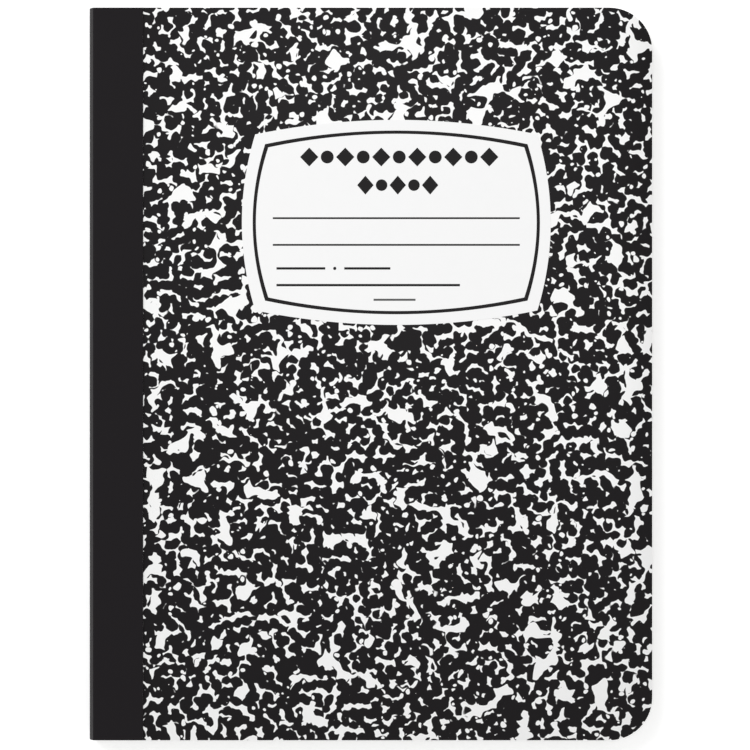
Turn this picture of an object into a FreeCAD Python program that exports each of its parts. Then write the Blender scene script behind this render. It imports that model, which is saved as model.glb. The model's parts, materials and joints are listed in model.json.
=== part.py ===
import FreeCAD, Part

import math
import os

import Sketcher
from FreeCAD import Vector

# Composition notebook, closed and lying on its back cover.
# X runs from the sewn spine (-X) to the fore-edge (+X), Y from tail to head, Z up.
# The origin is under the middle of the book, on the surface it lies on.
# The leaves are fifty folded sheets sewn through the fold. A lining sheet is glued round them,
# a stiff board is glued on each side of it, and one strip of tape wraps the spine and both boards.

SIZES = [
    ("book_width", 190.5, "spine face to fore-edge, 7 1/2 in"),
    ("book_height", 247.65, "tail to head, 9 3/4 in"),
    ("corner_radius", 14.5, "rounding of the two fore-edge corners, cut through all layers"),
    ("leaf_count", 100, "leaves in the block, two for each folded sheet"),
    ("leaf_thickness", 0.084, "thickness of one leaf, pressed"),
    ("fold_shoulder_radius", 2.6, "where the outermost sheet turns into the fold"),
    ("fold_crown_radius", 7.0, "gentle curve across the fold"),
    ("board_thickness", 1.0, "cover board with its printed paper"),
    ("board_setback", 1.6, "spine face to the spine edge of each board"),
    ("board_edge_radius", 0.5, "crushed outer edge of each board under the tape"),
    ("lining_thickness", 0.15, "sheet pasted inside both covers and round the fold"),
    ("tape_thickness", 0.22, "binding tape"),
    ("tape_cover_width", 18.4, "width of tape seen on each cover"),
    ("tape_press_depth", 0.05, "how deep the tape is pressed into each board"),
    ("glue_clearance", 0.05, "room left for glue where the tape turns"),
    ("label_width", 104.4, "label, bulge to bulge"),
    ("label_height", 69.3, "label, bulge to bulge"),
    ("label_side_bulge", 4.5, "rise of the label's left and right arcs"),
    ("label_top_bulge", 4.9, "rise of the label's top and bottom arcs"),
    ("label_thickness", 0.1, "pasted paper label"),
    ("label_spine_distance", 104.0, "spine face to the middle of the label"),
    ("label_head_distance", 72.6, "head edge to the middle of the label"),
    ("thread_diameter", 0.4, "sewing thread"),
    ("thread_clearance", 0.03, "between the two threads where they cross"),
    ("stitch_pitch", 12.0, "from one needle hole to the next"),
    ("stitch_margin", 7.0, "least distance from head or tail to a needle hole"),
    ("thread_tail", 3.0, "thread left past the first and last holes"),
    ("needle_hole_diameter", 1.4, "needle hole through half of the fold"),
    ("fold_gap_diameter", 1.5, "gap inside the innermost fold"),
    ("stitch_valley_radius", 0.8, "valley that the stitches press into the back of the fold"),
    ("stitch_depth", 0.32, "back of the fold to the middle of the thread in the valley"),
]

# Levels are heights above the table. The others are distances from the middle of the book.
PLACES = [
    ("back_outer", "sizes.tape_thickness - sizes.tape_press_depth"),
    ("back_inner", "places.back_outer + sizes.board_thickness"),
    ("block_bottom", "places.back_inner + sizes.lining_thickness"),
    ("block_thickness", "sizes.leaf_count * sizes.leaf_thickness"),
    ("middle", "places.block_bottom + places.block_thickness / 2"),
    ("block_top", "places.block_bottom + places.block_thickness"),
    ("front_inner", "places.block_top + sizes.lining_thickness"),
    ("front_outer", "places.front_inner + sizes.board_thickness"),
    ("tape_bottom_inner", "places.back_outer + sizes.tape_press_depth"),
    ("tape_top_inner", "places.front_outer - sizes.tape_press_depth"),
    ("half_width", "sizes.book_width / 2"),
    ("half_height", "sizes.book_height / 2"),
    ("board_edge", "places.half_width - sizes.board_setback"),
    ("tape_edge", "places.half_width - sizes.tape_cover_width"),
    ("lining_face", "places.half_width - sizes.tape_thickness - sizes.glue_clearance"),
    ("fold_face", "places.lining_face - sizes.lining_thickness"),
    ("crown_centre", "places.fold_face - sizes.fold_crown_radius"),
    ("bend_centre", "places.board_edge - sizes.board_edge_radius + sizes.glue_clearance"),
    ("inner_fold", "places.fold_face - places.block_thickness / 2"),
    ("stitch_count", "floor((sizes.book_height - 2 * sizes.stitch_margin) / sizes.stitch_pitch) + 1"),
    ("stitch_run", "(places.stitch_count - 1) * sizes.stitch_pitch"),
    ("label_corner_x", "sizes.label_width / 2 - sizes.label_side_bulge"),
    ("label_corner_y", "sizes.label_height / 2 - sizes.label_top_bulge"),
    (
        "label_top_radius",
        "(places.label_corner_x ^ 2 + sizes.label_top_bulge ^ 2) / (2 * sizes.label_top_bulge)",
    ),
    (
        "label_side_radius",
        "(places.label_corner_y ^ 2 + sizes.label_side_bulge ^ 2) / (2 * sizes.label_side_bulge)",
    ),
]

# The sketcher's own numbers for the points of a curve, its two axes and its origin.
START, END, CENTRE = 1, 2, 3
X_AXIS, Y_AXIS = -1, -2
ORIGIN = (X_AXIS, START)
TOLERANCE = 1e-4
# The way in which a swept piece turns the corners of its path.
MITRED = 1


def make_sizes(doc):
    """The spreadsheet that holds every driving dimension."""
    sheet = doc.addObject("Spreadsheet::Sheet", "sizes")
    for row, (alias, value, meaning) in enumerate(SIZES, start=1):
        sheet.set(f"A{row}", alias)
        sheet.set(f"B{row}", str(value))
        sheet.setAlias(f"B{row}", alias)
        sheet.set(f"C{row}", meaning)
    doc.recompute()
    return sheet


def make_places(doc):
    """Heights and distances that several pieces share, each worked out from the sizes."""
    places = doc.addObject("App::VarSet", "places")
    for name, formula in PLACES:
        places.addProperty("App::PropertyFloat", name, "Places")
        places.setExpression(name, formula)
    doc.recompute()
    return places


def add_body(doc, name):
    body = doc.addObject("PartDesign::Body", name)
    body.Label = name
    return body


def add_sketch(body, name, plane_role, offsets=()):
    """A sketch on one of the body's own planes, moved by (axis, formula) offsets in that plane's frame."""
    sketch = body.newObject("Sketcher::SketchObject", name)
    plane = next(item for item in body.Origin.OriginFeatures if item.Role == plane_role)
    sketch.AttachmentSupport = [(plane, "")]
    sketch.MapMode = "FlatFace"
    for axis, formula in offsets:
        sketch.setExpression(f"AttachmentOffset.Base.{axis}", formula)
    return sketch


class Outline:
    """Draws lines and arcs in a sketch and binds their constraints to the sizes."""

    def __init__(self, sketch):
        self.sketch = sketch

    def line(self, start, end):
        return self.sketch.addGeometry(Part.LineSegment(Vector(*start), Vector(*end)))

    def circle(self, centre, radius):
        return self.sketch.addGeometry(Part.Circle(Vector(*centre), Vector(0, 0, 1), radius))

    def arc(self, centre, radius, start_angle, end_angle):
        circle = Part.Circle(Vector(*centre), Vector(0, 0, 1), radius)
        return self.sketch.addGeometry(Part.ArcOfCircle(circle, start_angle, end_angle))

    def relate(self, kind, *references):
        self.sketch.addConstraint(Sketcher.Constraint(kind, *references))

    def bind(self, name, formula, kind, *references):
        """A named measure, first as drawn and then from the formula."""
        drawn = self.measure(kind, references)
        index = self.sketch.addConstraint(Sketcher.Constraint(kind, *references, drawn))
        self.sketch.renameConstraint(index, name)
        self.sketch.setExpression(f"Constraints.{name}", formula)

    def measure(self, kind, references):
        if kind == "Radius":
            return self.sketch.Geometry[references[0]].Radius
        span = self.sketch.getPoint(*references[2:4]) - self.sketch.getPoint(*references[0:2])
        return span.x if kind == "DistanceX" else span.y

    def place(self, name, x_formula, y_formula, geometry, point):
        """Fixes a point that lies left of the origin by x_formula and above it by y_formula."""
        self.bind(f"{name}_left", x_formula, "DistanceX", geometry, point, *ORIGIN)
        self.bind(f"{name}_height", y_formula, "DistanceY", *ORIGIN, geometry, point)


def draw_fold(outline, sizes, places, name, extra):
    """The section of the folded sheets, from the bottom of the fore-edge round the fold to its top.

    extra is the alias of a layer that lies outside the block, or None for the block itself.
    """
    grown = sizes.get(extra) if extra else 0.0
    more = f" + sizes.{extra}" if extra else ""
    less = f" - sizes.{extra}" if extra else ""
    shoulder = sizes.get("fold_shoulder_radius") + grown
    crown = sizes.get("fold_crown_radius") + grown
    bottom = places.block_bottom - grown
    top = places.block_top + grown
    crown_x = -places.crown_centre
    rise = top - shoulder - places.middle
    shoulder_x = crown_x - math.sqrt((crown - shoulder) ** 2 - rise**2)
    turn = math.atan2(rise, shoulder_x - crown_x)
    low = outline.line((places.half_width, bottom), (shoulder_x, bottom))
    low_arc = outline.arc((shoulder_x, bottom + shoulder), shoulder, -turn, 1.5 * math.pi)
    crown_arc = outline.arc((crown_x, places.middle), crown, turn, -turn)
    high_arc = outline.arc((shoulder_x, top - shoulder), shoulder, 0.5 * math.pi, turn)
    high = outline.line((shoulder_x, top), (places.half_width, top))
    outline.relate("Tangent", low, END, low_arc, END)
    outline.relate("Tangent", low_arc, START, crown_arc, END)
    outline.relate("Tangent", crown_arc, START, high_arc, END)
    outline.relate("Tangent", high_arc, START, high, START)
    outline.relate("Horizontal", low)
    outline.relate("Horizontal", high)
    outline.relate("Equal", low_arc, high_arc)
    outline.bind(f"{name}_shoulder", f"sizes.fold_shoulder_radius{more}", "Radius", high_arc)
    outline.bind(f"{name}_crown", f"sizes.fold_crown_radius{more}", "Radius", crown_arc)
    outline.place(f"{name}_centre", "places.crown_centre", "places.middle", crown_arc, CENTRE)
    outline.bind(f"{name}_bottom", f"places.block_bottom{less}", "DistanceY", *ORIGIN, low, START)
    outline.bind(f"{name}_top", f"places.block_top{more}", "DistanceY", *ORIGIN, high, END)
    outline.bind(f"{name}_low_end", "places.half_width", "DistanceX", *ORIGIN, low, START)
    outline.bind(f"{name}_high_end", "places.half_width", "DistanceX", *ORIGIN, high, END)
    return low, high


def draw_wrap(outline, sizes, places, name, extra):
    """One face of the tape, from its edge on the back cover round the spine to its edge on the front."""
    grown = sizes.get(extra) if extra else 0.0
    more = f" + sizes.{extra}" if extra else ""
    less = f" - sizes.{extra}" if extra else ""
    bend = sizes.get("board_edge_radius") + grown
    crown = places.crown_centre
    spine = places.lining_face - crown + sizes.get("glue_clearance") + grown
    bottom = places.tape_bottom_inner - grown
    top = places.tape_top_inner + grown
    bend_x = -places.bend_centre
    rise = top - bend - places.middle
    reach = math.hypot(bend_x + crown, rise)
    turn = math.atan2(rise, bend_x + crown) + math.acos((spine - bend) / reach)
    out = (math.cos(turn), math.sin(turn))
    bend_end = (bend_x + bend * out[0], top - bend + bend * out[1])
    crown_end = (-crown + spine * out[0], places.middle + spine * out[1])
    below = 2 * places.middle
    low = outline.line((-places.tape_edge, bottom), (bend_x, bottom))
    low_bend = outline.arc((bend_x, bottom + bend), bend, -turn, 1.5 * math.pi)
    low_slope = outline.line((bend_end[0], below - bend_end[1]), (crown_end[0], below - crown_end[1]))
    crown_arc = outline.arc((-crown, places.middle), spine, turn, -turn)
    high_slope = outline.line(crown_end, bend_end)
    high_bend = outline.arc((bend_x, top - bend), bend, 0.5 * math.pi, turn)
    high = outline.line((bend_x, top), (-places.tape_edge, top))
    outline.relate("Tangent", low, END, low_bend, END)
    outline.relate("Tangent", low_bend, START, low_slope, START)
    outline.relate("Tangent", low_slope, END, crown_arc, END)
    outline.relate("Tangent", crown_arc, START, high_slope, START)
    outline.relate("Tangent", high_slope, END, high_bend, END)
    outline.relate("Tangent", high_bend, START, high, START)
    outline.relate("Horizontal", low)
    outline.relate("Horizontal", high)
    outline.relate("Equal", low_bend, high_bend)
    outline.bind(f"{name}_bend", f"sizes.board_edge_radius{more}", "Radius", high_bend)
    spine_formula = f"places.lining_face - places.crown_centre + sizes.glue_clearance{more}"
    outline.bind(f"{name}_crown", spine_formula, "Radius", crown_arc)
    outline.place(f"{name}_centre", "places.crown_centre", "places.middle", crown_arc, CENTRE)
    outline.bind(f"{name}_low_bend", "places.bend_centre", "DistanceX", low_bend, CENTRE, *ORIGIN)
    outline.bind(f"{name}_high_bend", "places.bend_centre", "DistanceX", high_bend, CENTRE, *ORIGIN)
    outline.bind(f"{name}_bottom", f"places.tape_bottom_inner{less}", "DistanceY", *ORIGIN, low, START)
    outline.bind(f"{name}_top", f"places.tape_top_inner{more}", "DistanceY", *ORIGIN, high, END)
    outline.bind(f"{name}_low_end", "places.tape_edge", "DistanceX", low, START, *ORIGIN)
    outline.bind(f"{name}_high_end", "places.tape_edge", "DistanceX", high, END, *ORIGIN)
    return low, high


def close_ends(outline, *ends):
    """Joins the two faces of a sheet by a straight edge at each end."""
    for inner, inner_point, outer, outer_point in ends:
        start = outline.sketch.getPoint(inner, inner_point)
        edge = outline.line(start, outline.sketch.getPoint(outer, outer_point))
        outline.relate("Coincident", edge, START, inner, inner_point)
        outline.relate("Coincident", edge, END, outer, outer_point)


def pad_along_book(body, sketch, length_formula):
    """Pads a section drawn across the spine, evenly towards the tail and the head."""
    pad = body.newObject("PartDesign::Pad", f"{body.Name}_pad")
    pad.Profile = sketch
    pad.SideType = "Symmetric"
    pad.setExpression("Length", length_formula)
    return pad


def round_corners(body, feature, places):
    """Rounds the upright edges of the feature at the fore-edge, as the corner cutter does."""
    body.Document.recompute()
    names = []
    for number, edge in enumerate(feature.Shape.Edges, start=1):
        box = edge.BoundBox
        upright = box.XLength < TOLERANCE and box.YLength < TOLERANCE
        if upright and abs(box.XMin - places.half_width) < TOLERANCE:
            names.append(f"Edge{number}")
    fillet = body.newObject("PartDesign::Fillet", f"{body.Name}_corners")
    fillet.Base = (feature, names)
    fillet.setExpression("Radius", "sizes.corner_radius")
    body.Tip = fillet
    return fillet


def bore_along_book(body, name, x_formula, x_drawn, radius_formula, radius_drawn, places):
    """Cuts a round channel through the block from tail to head, at the middle of its thickness."""
    sketch = add_sketch(body, f"{name}_sketch", "XZ_Plane")
    outline = Outline(sketch)
    circle = outline.circle((-x_drawn, places.middle), radius_drawn)
    outline.bind(f"{name}_radius", radius_formula, "Radius", circle)
    outline.place(f"{name}_centre", x_formula, "places.middle", circle, CENTRE)
    pocket = body.newObject("PartDesign::Pocket", name)
    pocket.Profile = sketch
    pocket.SideType = "Symmetric"
    pocket.setExpression("Length", "sizes.book_height + 2 * sizes.stitch_margin")
    body.Tip = pocket
    return pocket


def pierce_fold(body, sizes, places):
    """Needle holes through the back half of the folded sheets, one for each stitch."""
    sketch = add_sketch(body, "needle_hole_sketch", "YZ_Plane", [("z", "-places.inner_fold")])
    outline = Outline(sketch)
    first = -places.stitch_run / 2
    circle = outline.circle((first, places.middle), sizes.get("needle_hole_diameter") / 2)
    outline.bind("hole_radius", "sizes.needle_hole_diameter / 2", "Radius", circle)
    outline.place("hole_centre", "places.stitch_run / 2", "places.middle", circle, CENTRE)
    hole = body.newObject("PartDesign::Pocket", "needle_hole")
    hole.Profile = sketch
    hole.setExpression("Length", "places.fold_face - places.inner_fold")
    pattern = body.newObject("PartDesign::LinearPattern", "needle_holes")
    pattern.Originals = [hole]
    pattern.Direction = (sketch, ["H_Axis"])
    pattern.setExpression("Length", "places.stitch_run")
    pattern.setExpression("Occurrences", "places.stitch_count")
    body.Tip = pattern


def make_page_block(doc, sizes, places):
    """All the leaves as one solid, with the sewing's holes, its valley and the gap inside the fold."""
    body = add_body(doc, "page_block")
    sketch = add_sketch(body, "page_block_section", "XZ_Plane")
    outline = Outline(sketch)
    low, high = draw_fold(outline, sizes, places, "block", None)
    fore_edge = outline.line((places.half_width, places.block_top), (places.half_width, places.block_bottom))
    outline.relate("Coincident", high, END, fore_edge, START)
    outline.relate("Coincident", fore_edge, END, low, START)
    round_corners(body, pad_along_book(body, sketch, "sizes.book_height"), places)
    valley_radius = sizes.get("stitch_valley_radius")
    bore_along_book(
        body, "stitch_valley", "places.fold_face", places.fold_face,
        "sizes.stitch_valley_radius", valley_radius, places,
    )
    gap_radius = sizes.get("fold_gap_diameter") / 2
    bore_along_book(
        body, "fold_gap", "places.inner_fold", places.inner_fold,
        "sizes.fold_gap_diameter / 2", gap_radius, places,
    )
    pierce_fold(body, sizes, places)
    return body


def make_lining_sheet(doc, sizes, places):
    """The sheet round the fold, whose two leaves are pasted inside the covers."""
    body = add_body(doc, "lining_sheet")
    sketch = add_sketch(body, "lining_section", "XZ_Plane")
    outline = Outline(sketch)
    inner_low, inner_high = draw_fold(outline, sizes, places, "inner", None)
    outer_low, outer_high = draw_fold(outline, sizes, places, "outer", "lining_thickness")
    close_ends(outline, (inner_low, START, outer_low, START), (inner_high, END, outer_high, END))
    round_corners(body, pad_along_book(body, sketch, "sizes.book_height"), places)
    return body


def make_spine_tape(doc, sizes, places):
    """One strip of tape, wrapped round the spine and onto both covers."""
    body = add_body(doc, "spine_tape")
    sketch = add_sketch(body, "tape_section", "XZ_Plane")
    outline = Outline(sketch)
    inner_low, inner_high = draw_wrap(outline, sizes, places, "inner", None)
    outer_low, outer_high = draw_wrap(outline, sizes, places, "outer", "tape_thickness")
    close_ends(outline, (inner_low, START, outer_low, START), (inner_high, END, outer_high, END))
    pad_along_book(body, sketch, "sizes.book_height")
    return body


def draw_board(outline, sizes, places):
    """A board's outline: square at the spine, rounded at the two fore-edge corners."""
    left = -places.board_edge
    right = places.half_width
    top = places.half_height
    radius = sizes.get("corner_radius")
    spine = outline.line((left, top), (left, -top))
    tail = outline.line((left, -top), (right - radius, -top))
    tail_corner = outline.arc((right - radius, -top + radius), radius, 1.5 * math.pi, 2 * math.pi)
    fore_edge = outline.line((right, -top + radius), (right, top - radius))
    head_corner = outline.arc((right - radius, top - radius), radius, 0, 0.5 * math.pi)
    head = outline.line((right - radius, top), (left, top))
    outline.relate("Coincident", head, END, spine, START)
    outline.relate("Coincident", spine, END, tail, START)
    outline.relate("Tangent", tail, END, tail_corner, START)
    outline.relate("Tangent", tail_corner, END, fore_edge, START)
    outline.relate("Tangent", fore_edge, END, head_corner, START)
    outline.relate("Tangent", head_corner, END, head, START)
    outline.relate("Horizontal", head)
    outline.relate("Horizontal", tail)
    outline.relate("Vertical", fore_edge)
    outline.relate("Symmetric", head, END, tail, START, X_AXIS)
    outline.relate("Equal", head_corner, tail_corner)
    outline.bind("corner", "sizes.corner_radius", "Radius", head_corner)
    outline.place("spine_corner", "places.board_edge", "places.half_height", head, END)
    outline.bind("fore_edge", "places.half_width", "DistanceX", *ORIGIN, head_corner, START)


def press_tape_seat(body, places, outer_face, reverse):
    """The shallow step that the pressed tape leaves in a board's outer face."""
    sketch = add_sketch(body, f"{body.Name}_seat_sketch", "XY_Plane", [("z", outer_face)])
    outline = Outline(sketch)
    left, right, top = -places.board_edge, -places.tape_edge, places.half_height
    corners = [(left, -top), (right, -top), (right, top), (left, top)]
    sides = [outline.line(corners[n], corners[(n + 1) % 4]) for n in range(4)]
    for n in range(4):
        outline.relate("Coincident", sides[n], END, sides[(n + 1) % 4], START)
    outline.relate("Horizontal", sides[0])
    outline.relate("Horizontal", sides[2])
    outline.relate("Vertical", sides[3])
    outline.relate("Symmetric", sides[0], END, sides[1], END, X_AXIS)
    outline.place("seat_corner", "places.board_edge", "places.half_height", sides[3], START)
    outline.bind("seat_edge", "places.tape_edge", "DistanceX", sides[1], END, *ORIGIN)
    pocket = body.newObject("PartDesign::Pocket", f"{body.Name}_tape_seat")
    pocket.Profile = sketch
    pocket.Reversed = reverse
    pocket.setExpression("Length", "sizes.tape_press_depth")
    body.Tip = pocket
    return pocket


def crush_spine_edge(body, pocket, places, seat_height):
    """Rounds the outer edge of the board that the tape turns over."""
    body.Document.recompute()
    names = []
    for number, edge in enumerate(pocket.Shape.Edges, start=1):
        box = edge.BoundBox
        level = abs(box.ZMin - seat_height) < TOLERANCE and box.ZLength < TOLERANCE
        if level and box.XLength < TOLERANCE and abs(box.XMin + places.board_edge) < TOLERANCE:
            names.append(f"Edge{number}")
    fillet = body.newObject("PartDesign::Fillet", f"{body.Name}_spine_edge")
    fillet.Base = (pocket, names)
    fillet.setExpression("Radius", "sizes.board_edge_radius")
    body.Tip = fillet


def make_board(doc, sizes, places, name, is_front):
    """A cover board with the seat that the tape is pressed into."""
    underside = "places.front_inner" if is_front else "places.back_outer"
    outer_face = "places.front_outer" if is_front else "places.back_outer"
    seat_height = places.tape_top_inner if is_front else places.tape_bottom_inner
    body = add_body(doc, name)
    sketch = add_sketch(body, f"{name}_outline", "XY_Plane", [("z", underside)])
    draw_board(Outline(sketch), sizes, places)
    pad = body.newObject("PartDesign::Pad", f"{name}_pad")
    pad.Profile = sketch
    pad.setExpression("Length", "sizes.board_thickness")
    pocket = press_tape_seat(body, places, outer_face, not is_front)
    crush_spine_edge(body, pocket, places, seat_height)
    return body


def make_label(doc, sizes, places):
    """The paper label on the front cover: four arcs that bulge between four sharp corners."""
    body = add_body(doc, "label")
    offsets = [
        ("x", "sizes.label_spine_distance - places.half_width"),
        ("y", "places.half_height - sizes.label_head_distance"),
        ("z", "places.front_outer"),
    ]
    sketch = add_sketch(body, "label_outline", "XY_Plane", offsets)
    outline = Outline(sketch)
    corner_x, corner_y = places.label_corner_x, places.label_corner_y
    top_radius, side_radius = places.label_top_radius, places.label_side_radius
    top_centre = sizes.get("label_height") / 2 - top_radius
    side_centre = sizes.get("label_width") / 2 - side_radius
    top_angle = math.atan2(corner_y - top_centre, corner_x)
    side_angle = math.atan2(corner_y, corner_x - side_centre)
    arcs = [
        outline.arc((side_centre, 0), side_radius, -side_angle, side_angle),
        outline.arc((0, top_centre), top_radius, top_angle, math.pi - top_angle),
        outline.arc((-side_centre, 0), side_radius, math.pi - side_angle, math.pi + side_angle),
        outline.arc((0, -top_centre), top_radius, math.pi + top_angle, 2 * math.pi - top_angle),
    ]
    right, top, left, bottom = arcs
    for n in range(4):
        outline.relate("Coincident", arcs[n], END, arcs[(n + 1) % 4], START)
    outline.relate("Symmetric", right, END, left, START, Y_AXIS)
    outline.relate("Symmetric", right, END, right, START, X_AXIS)
    outline.relate("Symmetric", right, START, bottom, START, Y_AXIS)
    outline.relate("Equal", right, left)
    outline.relate("Equal", top, bottom)
    outline.bind("top_arc", "places.label_top_radius", "Radius", top)
    outline.bind("side_arc", "places.label_side_radius", "Radius", right)
    outline.bind("corner_x", "places.label_corner_x", "DistanceX", *ORIGIN, right, END)
    outline.bind("corner_y", "places.label_corner_y", "DistanceY", *ORIGIN, right, END)
    pad = body.newObject("PartDesign::Pad", "label_pad")
    pad.Profile = sketch
    pad.setExpression("Length", "sizes.label_thickness")
    return body


def turn_round_inner_thread(inside, hole, middle, distance):
    """Corners of half an octagon, whose sides keep that distance from the inner thread's middle."""
    corner = distance / math.cos(math.pi / 8)
    angles = [math.radians(angle) for angle in (67.5, 22.5, -22.5, -67.5)]
    return [Vector(inside + corner * math.cos(a), hole, middle + corner * math.sin(a)) for a in angles]


def make_needle_thread(doc, sizes, places):
    """The thread outside the fold, which dips through each hole and loops round the inner thread."""
    radius = sizes.get("thread_diameter") / 2
    loop = 2 * radius + sizes.get("thread_clearance")
    outside = -places.fold_face + sizes.get("stitch_depth")
    inside = -places.inner_fold
    middle = places.middle
    tail = sizes.get("thread_tail")
    first = -places.stitch_run / 2
    holes = [first + n * sizes.get("stitch_pitch") for n in range(round(places.stitch_count))]
    points = [Vector(outside, holes[0] - tail, middle + loop)]
    for hole in holes:
        points.append(Vector(outside, hole, middle + loop))
        points.extend(turn_round_inner_thread(inside, hole, middle, loop))
        points.append(Vector(outside, hole, middle - loop))
    points.append(Vector(outside, holes[-1] + tail, middle - loop))
    sides = [math.radians(60 * n) for n in range(7)]
    section = Part.makePolygon(
        [points[0] + Vector(radius * math.cos(a), 0, radius * math.sin(a)) for a in sides]
    )
    thread = doc.addObject("Part::Feature", "needle_thread")
    thread.Label = "needle_thread"
    thread.Shape = Part.makePolygon(points).makePipeShell([section], True, False, MITRED)
    length = sum((b - a).Length for a, b in zip(points, points[1:]))
    area = 1.5 * math.sqrt(3) * radius**2
    if abs(thread.Shape.Volume / (length * area) - 1) > 0.02:
        raise RuntimeError("needle_thread does not fill its path")
    return thread


def make_bobbin_thread(doc, sizes, places):
    """The straight thread inside the fold, which the loops of the other thread hold."""
    thread = doc.addObject("Part::Cylinder", "bobbin_thread")
    thread.Label = "bobbin_thread"
    thread.setExpression("Radius", "sizes.thread_diameter / 2")
    thread.setExpression("Height", "places.stitch_run + 2 * sizes.thread_tail")
    thread.Placement.Rotation = FreeCAD.Rotation(Vector(1, 0, 0), 90)
    thread.setExpression("Placement.Base.x", "-places.inner_fold")
    thread.setExpression("Placement.Base.y", "places.stitch_run / 2 + sizes.thread_tail")
    thread.setExpression("Placement.Base.z", "places.middle")
    return thread


def check_document(doc, pieces):
    """Stops the build if anything failed to compute or a piece isn't a sound solid."""
    for item in doc.Objects:
        if "Invalid" in item.State or "Error" in item.State:
            raise RuntimeError(f"{item.Name} did not compute: {item.State}")
        if item.TypeId == "Sketcher::SketchObject" and item.solve() != 0:
            raise RuntimeError(f"{item.Name} has constraints that can't be met together")
    for piece in pieces:
        shape = piece.Shape
        if shape.isNull() or not shape.isValid() or not shape.Solids or shape.Volume <= 0:
            raise RuntimeError(f"{piece.Label} is not a sound solid")


def main():
    doc = FreeCAD.newDocument("composition_notebook")
    sizes = make_sizes(doc)
    places = make_places(doc)
    pieces = [
        make_board(doc, sizes, places, "back_board", is_front=False),
        make_board(doc, sizes, places, "front_board", is_front=True),
        make_page_block(doc, sizes, places),
        make_lining_sheet(doc, sizes, places),
        make_spine_tape(doc, sizes, places),
        make_label(doc, sizes, places),
        make_needle_thread(doc, sizes, places),
        make_bobbin_thread(doc, sizes, places),
    ]
    doc.recompute()
    check_document(doc, pieces)
    os.makedirs("parts", exist_ok=True)
    for piece in pieces:
        piece.Shape.exportStep(f"parts/{piece.Label}.step")
        box = piece.Shape.BoundBox
        print(f"{piece.Label}: {piece.Shape.Volume:.1f} mm3, {len(piece.Shape.Faces)} faces, "
              f"z {box.ZMin:.3f} to {box.ZMax:.3f}, x {box.XMin:.2f} to {box.XMax:.2f}")


main()
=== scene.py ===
"""Composition notebook: marbled covers, taped spine, sewn leaves and a title label, on a pale floor."""

import json
import math
import random

import bmesh
import bpy
from bpy.props import FloatProperty, FloatVectorProperty, IntProperty, PointerProperty
from bpy.types import Operator, Panel, PropertyGroup
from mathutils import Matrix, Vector
from mathutils.geometry import delaunay_2d_cdt

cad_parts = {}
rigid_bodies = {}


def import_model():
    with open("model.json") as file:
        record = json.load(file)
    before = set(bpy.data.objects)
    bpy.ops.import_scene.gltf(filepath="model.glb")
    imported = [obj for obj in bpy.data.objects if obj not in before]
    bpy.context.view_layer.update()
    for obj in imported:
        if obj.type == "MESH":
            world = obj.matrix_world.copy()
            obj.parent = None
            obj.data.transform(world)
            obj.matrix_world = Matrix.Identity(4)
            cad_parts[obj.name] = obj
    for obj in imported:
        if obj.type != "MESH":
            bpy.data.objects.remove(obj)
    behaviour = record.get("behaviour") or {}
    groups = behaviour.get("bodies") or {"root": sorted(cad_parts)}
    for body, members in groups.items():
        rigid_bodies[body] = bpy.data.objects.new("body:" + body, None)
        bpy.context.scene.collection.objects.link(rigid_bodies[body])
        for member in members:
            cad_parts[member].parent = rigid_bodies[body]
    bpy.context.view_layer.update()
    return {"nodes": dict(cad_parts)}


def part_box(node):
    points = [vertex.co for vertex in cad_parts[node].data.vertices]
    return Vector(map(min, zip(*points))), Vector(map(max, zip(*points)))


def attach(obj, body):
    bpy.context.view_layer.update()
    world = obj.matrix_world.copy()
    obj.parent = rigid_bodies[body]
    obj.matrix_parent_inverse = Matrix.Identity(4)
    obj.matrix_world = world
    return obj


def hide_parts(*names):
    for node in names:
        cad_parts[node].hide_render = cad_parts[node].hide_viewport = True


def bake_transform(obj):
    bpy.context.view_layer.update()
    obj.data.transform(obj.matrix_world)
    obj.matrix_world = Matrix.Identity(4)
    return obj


bl_info = {
    "name": "Composition notebook",
    "version": (1, 0, 0),
    "blender": (4, 5, 0),
    "location": "3D View > Sidebar > Notebook",
    "description": "Builds a composition notebook, piece by piece, around its packed CAD model",
    "category": "Object",
}

for leftover in list(bpy.data.objects):
    bpy.data.objects.remove(leftover)

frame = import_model()
MM = 0.001
FRONT_LOW, FRONT_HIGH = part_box("front_board")
BACK_LOW, BACK_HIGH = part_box("back_board")
TAPE_LOW, TAPE_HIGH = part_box("spine_tape")
LABEL_LOW, LABEL_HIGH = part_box("label")
BLOCK_LOW, BLOCK_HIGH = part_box("page_block")
MIDDLE = (FRONT_LOW.z + BACK_HIGH.z) / 2
HALF_LENGTH = FRONT_HIGH.y
FORE_EDGE = FRONT_HIGH.x
FLAT_FROM = FRONT_LOW.x + 3 * MM
SENSOR_WIDTH = 36
LAMP_PLACE = Vector((-1.0, 1.1, 1.7))


def length(name, description, default):
    return FloatProperty(name=name, description=description, default=default, unit="LENGTH", precision=5)


def colour(name, description, *default):
    return FloatVectorProperty(
        name=name, description=description, default=default, subtype="COLOR", size=3, min=0, max=1
    )


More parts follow.
